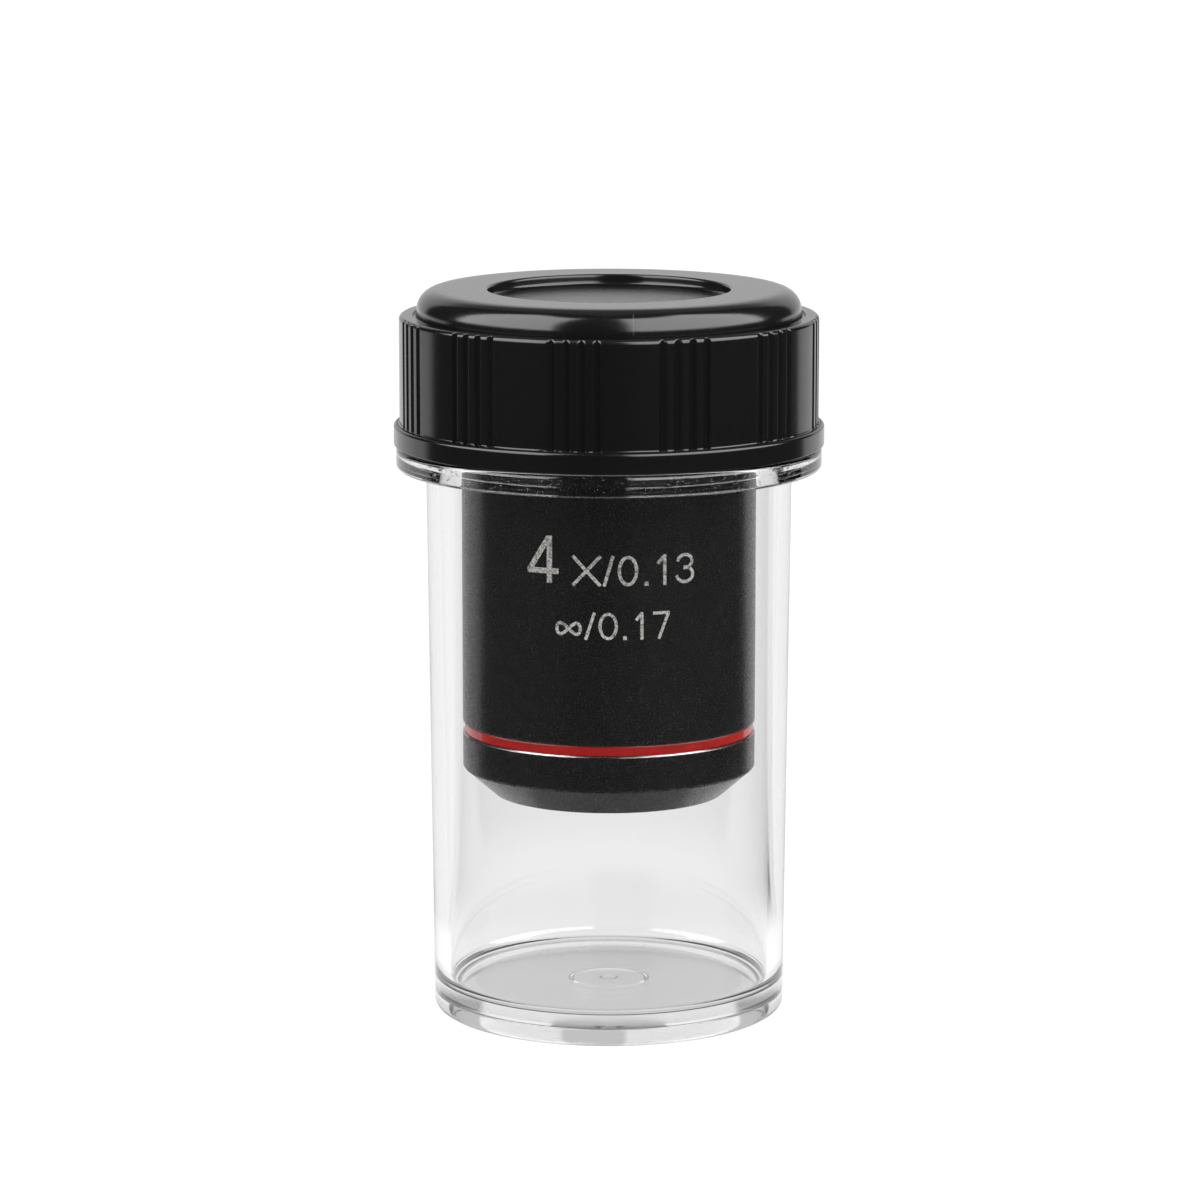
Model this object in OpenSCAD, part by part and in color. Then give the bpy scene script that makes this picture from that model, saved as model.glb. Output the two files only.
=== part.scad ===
// Microscope objective hanging in its screw-top storage jar.
// The origin is the centre of the jar's underside, +Z runs up the optical axis, and the nose points down.

/* [Objective barrel] */
// Length from the mounting shoulder to the nose
barrel_l = 35; // [32:0.5:38]
// Height of the flange above the sleeve, below the shoulder
shoulder_flange_t = 2.5; // [1.5:0.1:3.5]
// Height of the nose cone
cone_h = 2.4; // [1.5:0.1:2.8]
// Width of the nose cone
cone_w = 2.6; // [2:0.1:3.2]
// Room round the front lens in the nose's opening
nose_room = 0.7; // [0.2:0.1:1]
// Thickness of the nose's end wall
nose_lip = 1; // [0.6:0.1:1.3]
// Height of the nose cap's screwed neck
nose_neck_h = 2.6; // [2:0.1:2.8]
// Wall of the nose cap's screwed neck
nose_neck_wall = 2.05; // [1.2:0.05:2.2]
// Height of the colour groove's lower edge above the cone
groove_up = 3; // [2.8:0.1:6]
// Width of the colour groove
groove_w = 0.85; // [0.5:0.05:1.5]
// Depth of the colour groove
groove_d = 0.35; // [0.2:0.05:0.5]
// Bevel on the colour groove's lips
groove_bevel = 0.12; // [0.05:0.01:0.2]
// Thickness of the enamel in the groove
enamel_t = 0.2; // [0.1:0.01:0.25]
// Wall of the sleeve
sleeve_wall = 1.72; // [1.3:0.01:2.2]

/* [Mounting thread] */
// Radius of the mounting thread
thread_r = 10.13; // [9.9:0.01:10.4]
// Wall of the body inside the thread
thread_wall = 1.15; // [0.9:0.05:1.4]
// Length of the mounting thread
thread_l = 4.6; // [4:0.1:6]
// Length of the relief groove under the thread
relief_l = 0.7; // [0.4:0.1:1]
// Depth of the relief groove
relief_d = 0.45; // [0.2:0.05:0.5]
// Chamfer on the thread's free end
thread_chamfer = 0.4; // [0.2:0.05:0.6]
// Length of the body below the flange, which the sleeve screws on
body_skirt_l = 13.5; // [11:0.5:16]
// Wall of that length
body_skirt_wall = 1.75; // [1.4:0.05:2]

/* [Lens tube] */
// Wall of the lens tube
tube_wall = 1; // [0.7:0.05:1.1]
// Length of the tube past the mounting shoulder
tube_past = 0.5; // [0:0.1:1]
// Height of the ring that sets the parfocal distance
parfocal_h = 1.7; // [1.2:0.1:2.2]
// Width of that ring
parfocal_w = 1.4; // [1:0.1:1.8]
// Distance of the rear retaining ring below the tube's end
retainer_down = 2; // [1:0.1:3]
// Height of the rear retaining ring
retainer_h = 1.5; // [1:0.1:2]
// Width of the rear retaining ring
retainer_w = 1; // [0.8:0.05:1.4]
// Width of the spanner slots in both rings
slot_w = 1; // [0.6:0.1:1.4]
// Depth of the spanner slots
slot_d = 0.7; // [0.4:0.1:1]
// Radius of the set screws that lock the tube
screw_r = 1; // [0.8:0.1:1.2]
// Number of set screws
screw_n = 3; // [2:1:4]
// Distance of the set screws below the mounting shoulder
screw_down = 12; // [10:0.5:14]
// Width across the flats of the screw's socket
socket_af = 0.9; // [0.7:0.05:1]

/* [Lens stack] */
// Wall of the front cell, round the front lens
cell_wall = 2.4; // [2:0.1:3]
// Edge thickness of the front lens
front_edge = 3; // [2.4:0.1:3.4]
// Hollow of the front lens's outer face
front_hollow = 0.5; // [0.2:0.05:0.8]
// Bulge of the front lens's inner face
front_bulge = 1.2; // [0.8:0.05:1.4]
// Thickness of the front cell's lip, under the lens
cell_lip = 0.8; // [0.6:0.05:1.2]
// Width of that lip
cell_lip_w = 0.8; // [0.5:0.05:1]
// Height of the cell's flange, below the lens tube
cell_flange_h = 4.5; // [4:0.1:4.8]
// Height of the cell's spigot, inside the lens tube
cell_spigot_h = 2.2; // [1.8:0.1:3]
// Height of the front retaining ring
front_ring_h = 1.2; // [0.8:0.1:1.5]
// Width of the front retaining ring
front_ring_w = 0.7; // [0.5:0.05:0.9]
// Height of the front spacer
front_spacer_h = 5; // [4:0.1:6]
// Width of the three spacers
spacer_w = 1.1; // [0.8:0.05:1.4]
// Thickness of the aperture stop
stop_t = 0.5; // [0.3:0.05:0.8]
// Width of the aperture stop, round its hole
stop_w = 2.05; // [1.6:0.05:2.6]
// Edge thickness of each crown lens
crown_edge = 1.5; // [1.2:0.1:2]
// Edge thickness of each flint lens
flint_edge = 2.6; // [2.4:0.1:3.2]
// Bulge of the cemented faces
cement_bulge = 1.5; // [1:0.05:1.8]
// Bulge of the first doublet's lower face
first_bulge = 1.2; // [0.8:0.05:1.5]
// Bulge of the first doublet's upper face
first_back_bulge = 0.4; // [0.2:0.05:0.7]
// Bulge of the second doublet's lower face
second_bulge = 0.7; // [0.4:0.05:1]
// Hollow of the second doublet's upper face
second_hollow = 0.3; // [0.1:0.05:0.6]

/* [Jar] */
// Room round the barrel at the jar's floor
jar_room = 1.15; // [0.8:0.05:2]
// Draft: how much wider the inside is at the flange
jar_draft = 0.7; // [0.2:0.05:1]
// Wall at the foot
jar_wall_foot = 1.35; // [1:0.05:2]
// Wall under the flange
jar_wall_top = 1.15; // [0.9:0.05:2]
// Height of the flange's underside
jar_body_h = 46.9; // [42:0.1:54]
// Height of the floor's upper face
jar_floor = 2.45; // [2:0.05:3.2]
// Radius of the corner between floor and wall
floor_fillet = 1; // [0.4:0.1:1.6]
// Radius of the foot's outer corner
foot_corner = 0.7; // [0.3:0.05:1]
// Width of the foot ring that the jar stands on
foot_ring_w = 1.9; // [1.4:0.1:3]
// Depth of the recess inside the foot ring
foot_recess = 1.3; // [0.5:0.05:1.4]
// Radius of the gate mark in the underside
gate_r = 3.2; // [2:0.1:5]
// Depth of the gate mark
gate_d = 0.35; // [0.1:0.05:0.4]
// Radius of the gate's nub
gate_nub_r = 0.7; // [0.4:0.05:1.2]
// Height of the gate's nub
gate_nub_h = 0.25; // [0.1:0.05:0.35]
// How far the flange stands out from the wall
jar_flange_w = 2.53; // [1.5:0.01:4]
// Thickness of the flange
jar_flange_t = 1.95; // [1.5:0.05:3]
// Radius of the flange's lower corner
flange_corner = 0.9; // [0.4:0.05:1.2]
// Wall of the neck
neck_wall = 1.4; // [1.1:0.05:2]
// Height of the neck above the flange
neck_h = 8.3; // [7:0.1:10]

/* [Sealing ring] */
// Thickness of the sealing ring
seal_t = 1.05; // [0.6:0.05:1.6]

/* [Lid] */
// Room between neck and lid, which the closure's thread takes up
closure_gap = 0.75; // [0.5:0.05:1]
// Wall of the lid's skirt
lid_wall = 1.23; // [1:0.01:2]
// How far the lid's flange stands out from the skirt
lid_flange_w = 0.5; // [0.3:0.05:1.5]
// Height of the lid's flange
lid_flange_h = 1.8; // [1:0.1:3]
// Thickness of the lid's shoulder
lid_shoulder_t = 1.6; // [1.2:0.1:2.4]
// Radius of the skirt's upper corner
skirt_corner = 0.35; // [0.2:0.05:0.8]
// Width of the shoulder round the dome
shoulder_w = 1.48; // [1:0.01:2]
// Width of the fine groove at the dome's foot
line_w = 0.35; // [0.2:0.05:0.45]
// Depth of that groove
line_d = 0.2; // [0.1:0.05:0.4]
// Radius of the dome's edge
dome_edge = 1.75; // [1:0.05:2]
// Radius of the recess in the dome
recess_r = 10.05; // [6:0.05:12]
// Depth of the recess
recess_d = 0.9; // [0.4:0.05:1.2]
// How far the recess's wall slopes in
recess_slope = 0.1; // [0.05:0.05:0.6]
// Thickness of the wall under the recess
disc_t = 1.5; // [1:0.1:2]
// Length of the boss that the objective screws into
boss_l = 4.2; // [3:0.1:5]
// Wall of the boss
boss_wall = 1.8; // [1.4:0.05:2.2]
// Room above the thread's end in the boss
boss_end_room = 1; // [0.5:0.1:1.6]
// Number of groups of grip grooves
grip_n = 12; // [6:1:16]
// Number of grooves in a group
grip_grooves = 4; // [2:1:5]
// Distance between grooves, along the skirt
grip_pitch = 1.28; // [0.8:0.01:1.6]
// Width of a groove
grip_w = 0.3; // [0.2:0.05:0.5]
// Depth of a groove
grip_d = 0.25; // [0.1:0.05:0.35]
// Height of the grooves' lower ends above the lid's flange
grip_up = 0.55; // [0.2:0.05:2]
// Turn of the first group from the +X axis, in degrees
grip_turn = -69.5; // [-90:0.5:0]

/* [Hidden] */
$fn = 180;

// Clearances: faces that seat, lenses in their bores, cement between lenses, screwed pieces,
// the mounting thread in its boss, and the sealing ring on its boss.
seat_gap = 0.02;
lens_gap = 0.03;
cement_gap = 0.01;
screw_gap = 0.05;
thread_gap = 0.07;
seal_gap = 0.3;
// Small edge breaks on moulded and on turned pieces.
mould_break = 0.2;
turned_break = 0.15;
// Points along each rounded corner, after the first.
arc_steps = 8;

// Radii of the objective, inwards and outwards from the thread that the microscope sets.
body_bore_r = thread_r - thread_wall;
tube_r = body_bore_r - screw_gap;
tube_bore_r = tube_r - tube_wall;
lens_r = tube_bore_r - lens_gap;
front_r = lens_r - cell_wall;
stop_r = lens_r - stop_w;
skirt_out_r = body_bore_r + body_skirt_wall;
sleeve_bore_r = skirt_out_r + screw_gap;
barrel_r = sleeve_bore_r + sleeve_wall;
nose_r = barrel_r - cone_w;
nose_open_r = front_r + nose_room;
nose_bore_r = tube_r + screw_gap;
nose_neck_r = nose_bore_r + nose_neck_wall;
nose_seat_r = nose_neck_r + screw_gap;

// Radii of the jar, outwards from the barrel that it has to take.
jar_in_foot = barrel_r + jar_room;
jar_in_top = jar_in_foot + jar_draft;
jar_foot_r = jar_in_foot + jar_wall_foot;
jar_top_r = jar_in_top + jar_wall_top;
jar_flange_r = jar_top_r + jar_flange_w;
foot_recess_r = jar_foot_r - foot_ring_w;
neck_r = jar_in_top + neck_wall;

// Heights of the jar.
flange_top = jar_body_h + jar_flange_t;
neck_top = flange_top + neck_h;

// Heights of the lid, upwards from the jar.
lid_bottom = flange_top + seat_gap;
lid_flange_top = lid_bottom + lid_flange_h;
seal_bottom = neck_top + seat_gap;
ceiling = seal_bottom + seal_t + seat_gap;
lid_shoulder = ceiling + lid_shoulder_t;
boss_end = ceiling - boss_l;

// Radii of the lid.
lid_in_r = neck_r + closure_gap;
skirt_r = lid_in_r + lid_wall;
lid_flange_r = skirt_r + lid_flange_w;
dome_r = skirt_r - shoulder_w;
boss_bore_r = thread_r + thread_gap;
boss_r = boss_bore_r + boss_wall;
grip_step = grip_pitch / skirt_r * 180 / PI;

// Heights of the objective, downwards from the boss that its shoulder seats on.
shoulder = boss_end - seat_gap;
thread_top = shoulder + thread_l;
sleeve_top = shoulder - shoulder_flange_t;
skirt_bottom = sleeve_top - body_skirt_l;
nose = shoulder - barrel_l;
cone_top = nose + cone_h;
groove_bottom = cone_top + groove_up;
bore_top = thread_top + boss_end_room;
recess_floor = bore_top + disc_t;
dome_top = recess_floor + recess_d;

// Heights inside the objective, upwards from the nose.
cell_bottom = nose + nose_lip + seat_gap;
tube_bottom = cell_bottom + cell_flange_h + seat_gap;
tube_top = shoulder + tube_past;
cell_top = tube_bottom + cell_spigot_h;
front_seat = cell_bottom + cell_lip + seat_gap;
front_back = front_seat + front_edge;
front_ring_r = front_r - front_ring_w;
spacer_in_r = lens_r - spacer_w;
first_seat = cell_top + seat_gap + front_spacer_h;
first_low = first_seat + rise(lens_r, first_bulge, spacer_in_r) + seat_gap;
doublet_edge = crown_edge + cement_gap + flint_edge;
first_high = first_low + doublet_edge;
middle_low = first_high + rise(lens_r, first_back_bulge, spacer_in_r) + seat_gap;
retainer_low = tube_top - retainer_down - retainer_h;
second_high = retainer_low - seat_gap;
second_low = second_high - doublet_edge;
rear_high = second_low - rise(lens_r, second_bulge, spacer_in_r) - seat_gap;
// The two spacers beside the aperture stop share what the lenses leave of the tube.
stop_spacer_h = (rear_high - middle_low - stop_t) / 2 - seat_gap;
stop_low = middle_low + stop_spacer_h + seat_gap;
rear_low = stop_low + stop_t + seat_gap;

// Radius of the sphere that bulges by sag over a circle of radius r.
function ball(r, sag) = (r * r + sag * sag) / (2 * abs(sag));
// Height of that sphere at radius at, above its rim at radius r.
function rise(r, sag, at) = let (b = ball(r, sag)) sqrt(b * b - at * at) - sqrt(b * b - r * r);
// Points along an arc round [x, z], from angle a0 to angle a1.
function arc(x, z, r, a0, a1) = [
  for (i = [0:arc_steps]) let (a = a0 + (a1 - a0) * i / arc_steps) [x + r * cos(a), z + r * sin(a)]
];
// Radius of the jar's inside at height z.
function jar_in(z) = jar_in_foot + jar_draft * (z - jar_floor) / (jar_body_h - jar_floor);

module ring(inner, outer, low, high) {
  translate([0, 0, low]) difference() {
    cylinder(r = outer, h = high - low);
    translate([0, 0, -1]) cylinder(r = inner, h = high - low + 2);
  }
}

// A lens between rims at heights low and high. A positive bulge makes that face stand out,
// and a negative one hollows it.
module lens(r, low, bulge_low, high, bulge_high) {
  low_ball = ball(r, bulge_low);
  high_ball = ball(r, bulge_high);
  bottom = low - max(bulge_low, 0);
  top = high + max(bulge_high, 0);
  intersection() {
    translate([0, 0, bottom]) cylinder(r = r, h = top - bottom);
    difference() {
      if (bulge_low > 0) translate([0, 0, bottom + low_ball]) sphere(low_ball);
      else translate([0, 0, bottom - 1]) cylinder(r = 2 * r, h = top - bottom + 2);
      if (bulge_low < 0) translate([0, 0, low - bulge_low - low_ball]) sphere(low_ball);
    }
    difference() {
      if (bulge_high > 0) translate([0, 0, top - high_ball]) sphere(high_ball);
      else translate([0, 0, bottom - 1]) cylinder(r = 2 * r, h = top - bottom + 2);
      if (bulge_high < 0) translate([0, 0, high + bulge_high + high_ball]) sphere(high_ball);
    }
  }
}

// Two slots across a ring's upper face, for a pin spanner.
module spanner_slots(r, top) {
  translate([-r - 1, -slot_w / 2, top - slot_d]) cube([2 * r + 2, slot_w, slot_d + 1]);
}

module jar() {
  gate_top = foot_recess + gate_d;
  fillet_r = jar_in(jar_floor + floor_fillet) - floor_fillet;
  color("aliceblue", 0.4) rotate_extrude() polygon(concat(
    [
      [0, gate_top - gate_nub_h], [gate_nub_r, gate_top - gate_nub_h], [gate_nub_r, gate_top],
      [gate_r, gate_top], [gate_r + mould_break, foot_recess], [foot_recess_r, foot_recess],
      [foot_recess_r + mould_break, 0]
    ],
    arc(jar_foot_r - foot_corner, foot_corner, foot_corner, -90, 0),
    [[jar_top_r, jar_body_h - mould_break], [jar_top_r + mould_break, jar_body_h]],
    arc(jar_flange_r - flange_corner, jar_body_h + flange_corner, flange_corner, -90, 0),
    [
      [jar_flange_r, flange_top - mould_break], [jar_flange_r - mould_break, flange_top],
      [neck_r + mould_break, flange_top], [neck_r, flange_top + mould_break]
    ],
    arc(neck_r - mould_break, neck_top - mould_break, mould_break, 0, 90),
    arc(jar_in_top + mould_break, neck_top - mould_break, mould_break, 90, 180),
    [[jar_in_top, jar_body_h]],
    arc(fillet_r, jar_floor + floor_fillet, floor_fillet, 0, -90),
    [[0, jar_floor]]
  ));
}

module lid() {
  color([0.06, 0.06, 0.065]) difference() {
    rotate_extrude() polygon(concat(
      [
        [lid_in_r, lid_bottom], [lid_flange_r - mould_break, lid_bottom],
        [lid_flange_r, lid_bottom + mould_break]
      ],
      arc(lid_flange_r - lid_flange_w / 2, lid_flange_top - lid_flange_w / 2, lid_flange_w / 2, 0, 90),
      [[skirt_r + mould_break, lid_flange_top], [skirt_r, lid_flange_top + mould_break]],
      arc(skirt_r - skirt_corner, lid_shoulder - skirt_corner, skirt_corner, 0, 90),
      [
        [dome_r + line_w, lid_shoulder], [dome_r + line_w, lid_shoulder - line_d],
        [dome_r, lid_shoulder - line_d]
      ],
      arc(dome_r - dome_edge, dome_top - dome_edge, dome_edge, 0, 90),
      [
        [recess_r, dome_top], [recess_r - recess_slope, recess_floor], [0, recess_floor],
        [0, bore_top], [boss_bore_r, bore_top], [boss_bore_r, boss_end], [boss_r, boss_end],
        [boss_r, ceiling], [lid_in_r, ceiling]
      ]
    ));
    for (group = [0:grip_n - 1], i = [0:grip_grooves - 1])
      rotate(grip_turn + group * 360 / grip_n + (i - (grip_grooves - 1) / 2) * grip_step)
        translate([skirt_r - grip_d, -grip_w / 2, lid_flange_top + grip_up])
          cube([grip_d + 1, grip_w, lid_shoulder - lid_flange_top]);
  }
}

module sealing_ring() {
  color("gainsboro") ring(boss_r + seal_gap, lid_in_r - seal_gap, seal_bottom, seal_bottom + seal_t);
}

// Body of the objective: thread, shoulder flange and the length that the sleeve screws on.
module mount_body() {
  relief_r = thread_r - relief_d;
  color([0.12, 0.12, 0.125]) difference() {
    rotate_extrude() polygon([
      [body_bore_r, skirt_bottom], [skirt_out_r - turned_break, skirt_bottom],
      [skirt_out_r, skirt_bottom + turned_break], [skirt_out_r, sleeve_top],
      [barrel_r - turned_break, sleeve_top], [barrel_r, sleeve_top + turned_break],
      [barrel_r, shoulder - turned_break], [barrel_r - turned_break, shoulder],
      [relief_r, shoulder], [relief_r, shoulder + relief_l],
      [thread_r, shoulder + relief_l + relief_d], [thread_r, thread_top - thread_chamfer],
      [thread_r - thread_chamfer, thread_top], [body_bore_r, thread_top]
    ]);
    for (i = [0:screw_n - 1])
      rotate(i * 360 / screw_n) translate([0, 0, shoulder - screw_down]) rotate([0, 90, 0])
        cylinder(r = screw_r + screw_gap, h = barrel_r);
  }
}

// Sleeve with the colour groove. It screws over the body and takes the nose cap below.
module barrel_sleeve() {
  floor_r = barrel_r - groove_d;
  neck_end = cone_top + nose_neck_h;
  color([0.1, 0.1, 0.105]) rotate_extrude() polygon([
    [nose_seat_r, cone_top + seat_gap], [barrel_r, cone_top + seat_gap],
    [barrel_r, groove_bottom - groove_bevel], [barrel_r - groove_bevel, groove_bottom],
    [floor_r, groove_bottom], [floor_r, groove_bottom + groove_w],
    [barrel_r - groove_bevel, groove_bottom + groove_w],
    [barrel_r, groove_bottom + groove_w + groove_bevel],
    [barrel_r, sleeve_top - turned_break - seat_gap], [barrel_r - turned_break, sleeve_top - seat_gap],
    [sleeve_bore_r, sleeve_top - seat_gap], [sleeve_bore_r, neck_end + nose_seat_r - sleeve_bore_r],
    [nose_seat_r, neck_end]
  ]);
}

// Enamel in the colour groove.
module colour_ring() {
  floor_r = barrel_r - groove_d;
  color("firebrick") ring(floor_r + seat_gap, floor_r + enamel_t, groove_bottom + seat_gap,
                          groove_bottom + groove_w - seat_gap);
}

module nose_cap() {
  neck_end = cone_top + nose_neck_h - seat_gap;
  color([0.1, 0.1, 0.105]) rotate_extrude() polygon([
    [nose_open_r, nose], [nose_r, nose], [barrel_r, cone_top], [nose_neck_r, cone_top],
    [nose_neck_r, neck_end - turned_break], [nose_neck_r - turned_break, neck_end],
    [nose_bore_r, neck_end], [nose_bore_r, nose + nose_lip],
    [nose_open_r, nose + nose_lip]
  ]);
}

module lens_tube() {
  color("dimgray") ring(tube_bore_r, tube_r, tube_bottom, tube_top);
}

module parfocal_ring() {
  low = tube_top + seat_gap;
  color("goldenrod") difference() {
    ring(tube_r - parfocal_w, tube_r, low, low + parfocal_h);
    spanner_slots(tube_r, low + parfocal_h);
  }
}

// Socket screws through the body, which lock the lens tube once it is set.
module set_screws() {
  length = body_skirt_wall;
  color("dimgray") for (i = [0:screw_n - 1])
    rotate(i * 360 / screw_n) translate([body_bore_r, 0, shoulder - screw_down]) rotate([0, 90, 0])
      difference() {
        cylinder(r = screw_r, h = length - seat_gap);
        translate([0, 0, length / 2])
          cylinder(r = socket_af / sqrt(3), h = length, $fn = 6);
      }
}

module rear_retainer() {
  color("dimgray") difference() {
    ring(lens_r - retainer_w, lens_r, retainer_low, retainer_low + retainer_h);
    spanner_slots(lens_r, retainer_low + retainer_h);
  }
}

// Cell of the front lens: its flange carries the lens tube, and its spigot centres it.
module front_cell() {
  flange_end = cell_bottom + cell_flange_h;
  lens_bore = front_r + lens_gap;
  color([0.15, 0.15, 0.155]) rotate_extrude() polygon([
    [front_r - cell_lip_w, cell_bottom], [tube_r, cell_bottom], [tube_r, flange_end],
    [lens_r, flange_end], [lens_r, cell_top - turned_break], [lens_r - turned_break, cell_top],
    [lens_bore, cell_top], [lens_bore, cell_bottom + cell_lip],
    [front_r - cell_lip_w, cell_bottom + cell_lip]
  ]);
}

module front_retainer() {
  low = front_back + rise(front_r, front_bulge, front_ring_r) + seat_gap;
  color("dimgray") ring(front_ring_r, front_r, low, low + front_ring_h);
}

module front_lens() {
  color("lightcyan", 0.6) lens(front_r, front_seat, -front_hollow, front_back, front_bulge);
}

module front_spacer() {
  color("dimgray") ring(spacer_in_r, lens_r, cell_top + seat_gap, first_seat);
}

module crown_lens_a() {
  color("lightcyan", 0.6) lens(lens_r, first_low, first_bulge, first_low + crown_edge, cement_bulge);
}

module flint_lens_a() {
  color("honeydew", 0.6)
    lens(lens_r, first_low + crown_edge + cement_gap, -cement_bulge, first_high, first_back_bulge);
}

module middle_spacer() {
  color("dimgray") ring(spacer_in_r, lens_r, middle_low, middle_low + stop_spacer_h);
}

module aperture_stop() {
  color([0.08, 0.08, 0.08]) ring(stop_r, lens_r, stop_low, stop_low + stop_t);
}

module rear_spacer() {
  color("dimgray") ring(spacer_in_r, lens_r, rear_low, rear_low + stop_spacer_h);
}

module crown_lens_b() {
  color("lightcyan", 0.6) lens(lens_r, second_low, second_bulge, second_low + crown_edge, cement_bulge);
}

module flint_lens_b() {
  color("honeydew", 0.6)
    lens(lens_r, second_low + crown_edge + cement_gap, -cement_bulge, second_high, -second_hollow);
}

jar();
lid();
sealing_ring();
mount_body();
barrel_sleeve();
colour_ring();
nose_cap();
lens_tube();
parfocal_ring();
set_screws();
rear_retainer();
front_cell();
front_retainer();
front_lens();
front_spacer();
crown_lens_a();
flint_lens_a();
middle_spacer();
aperture_stop();
rear_spacer();
crown_lens_b();
flint_lens_b();
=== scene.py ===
import bpy
import numpy as np
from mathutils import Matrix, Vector


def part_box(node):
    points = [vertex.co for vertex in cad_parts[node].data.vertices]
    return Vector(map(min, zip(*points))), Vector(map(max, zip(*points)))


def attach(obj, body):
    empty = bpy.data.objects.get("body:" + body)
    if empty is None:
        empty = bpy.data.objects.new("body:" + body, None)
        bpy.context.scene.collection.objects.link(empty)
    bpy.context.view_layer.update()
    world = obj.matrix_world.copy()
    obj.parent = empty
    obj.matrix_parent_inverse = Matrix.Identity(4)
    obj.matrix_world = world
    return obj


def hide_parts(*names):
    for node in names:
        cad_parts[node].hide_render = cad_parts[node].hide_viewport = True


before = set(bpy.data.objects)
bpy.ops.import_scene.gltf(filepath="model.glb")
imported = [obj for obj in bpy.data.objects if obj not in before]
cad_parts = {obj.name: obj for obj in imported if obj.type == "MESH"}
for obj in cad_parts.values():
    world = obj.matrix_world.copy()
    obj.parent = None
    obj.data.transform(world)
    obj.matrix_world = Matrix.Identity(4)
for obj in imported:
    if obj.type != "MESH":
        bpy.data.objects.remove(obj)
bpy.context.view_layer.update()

mm = 0.001
scene = bpy.context.scene
print("frame loaded:", len(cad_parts), "nodes")


# Camera, first of all. It stands in front (-Y) and a little above, as the photograph's does.
cameraView = {
    "distance": 0.4163,     # metres from the point it looks at
    "elevation": 10.38,     # degrees
    "lookAt": (-0.76, 0.0, 35.3),   # mm; the axis stands a little right of the picture's middle
    "lens": 146.5,
}
lookAt = Vector(cameraView["lookAt"]) * mm
tilt = np.radians(cameraView["elevation"])
cameraData = bpy.data.cameras.new("camera")
cameraData.lens = cameraView["lens"]
cameraData.sensor_width = 36
cameraData.clip_start = 0.01
cameraData.clip_end = 20
camera = bpy.data.objects.new("camera", cameraData)
camera.location = lookAt + Vector((0, -np.cos(tilt), np.sin(tilt))) * cameraView["distance"]
camera.rotation_euler = (lookAt - camera.location).to_track_quat("-Z", "Y").to_euler()
scene.collection.objects.link(camera)
scene.camera = camera
print("camera made")


# sRGB hex to the linear values that the shaders take
def linearColour(hexText):
    c = np.array([int(hexText[i:i + 2], 16) for i in (1, 3, 5)]) / 255
    c = np.where(c <= 0.04045, c / 12.92, ((c + 0.055) / 1.055) ** 2.4)
    return (*c, 1.0)


# Adds one node, with its settings, and with each input set to a value or linked to a socket
def addNode(tree, kind, inputs=None, **settings):
    node = tree.nodes.new(kind)
    for name, value in settings.items():
        setattr(node, name, value)
    for key, value in (inputs or {}).items():
        if isinstance(value, bpy.types.NodeSocket):
            tree.links.new(value, node.inputs[key])
        else:
            node.inputs[key].default_value = value
    return node


# A new material with an empty node tree
def newMaterial(name):
    material = bpy.data.materials.new(name)
    material.use_nodes = True
    material.node_tree.nodes.clear()
    return material, material.node_tree


# Rounded profile in mm: each row of corners is (radius from the axis, height, corner radius).
# A corner becomes an arc that touches both of its sides, and a guard point just past each end of
# the arc keeps the flat beside it evenly shaded. The solid lies to the left of the way it runs.
def roundedProfile(corners, closed=False, steps=7):
    points = np.array([c[:2] for c in corners], float)
    rounds = np.array([c[2] for c in corners], float)
    count = len(points)
    out = []
    for i in range(count):
        p, r = points[i], rounds[i]
        if not closed and i in (0, count - 1) or r == 0:
            out.append(p[None])
            continue
        before, after = points[i - 1] - p, points[(i + 1) % count] - p
        reach = np.array([np.linalg.norm(before), np.linalg.norm(after)])
        a, b = before / reach[0], after / reach[1]
        half = np.arccos(np.clip(a @ b, -1, 1)) / 2
        cut = r / np.tan(half)
        middle = p + (a + b) / np.linalg.norm(a + b) * r / np.sin(half)
        start, end = p + a * cut - middle, p + b * cut - middle
        turn = np.arctan2(start[0] * end[1] - start[1] * end[0], start @ end)
        t = np.arctan2(start[1], start[0]) + turn * np.linspace(0, 1, steps + 1)
        guard = np.minimum(0.4 * cut + 0.02, 0.3 * (reach - cut))
        out.append((p + a * (cut + guard[0]))[None])
        out.append(middle + r * np.stack([np.cos(t), np.sin(t)], 1))
        out.append((p + b * (cut + guard[1]))[None])
    return np.concatenate(out)


# Puts extra rows into the straight wall of a profile at one radius, at the heights asked for
def withRows(profile, radius, heights):
    heights = np.array(heights, float)
    upright = np.abs(profile[:, 0] - radius) < 1e-6
    for i in np.flatnonzero(upright[:-1] & upright[1:]):
        low, high = sorted(profile[i:i + 2, 1])
        rows = np.sort(heights[(heights > low + 1e-6) & (heights < high - 1e-6)])
        if len(rows) > 0.5 * len(heights):
            rows = rows if profile[i, 1] < profile[i + 1, 1] else rows[::-1]
            extra = np.stack([np.full(len(rows), radius), rows], 1)
            return np.concatenate([profile[:i + 1], extra, profile[i + 1:]])
    raise ValueError("no straight wall at radius %g" % radius)


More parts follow.
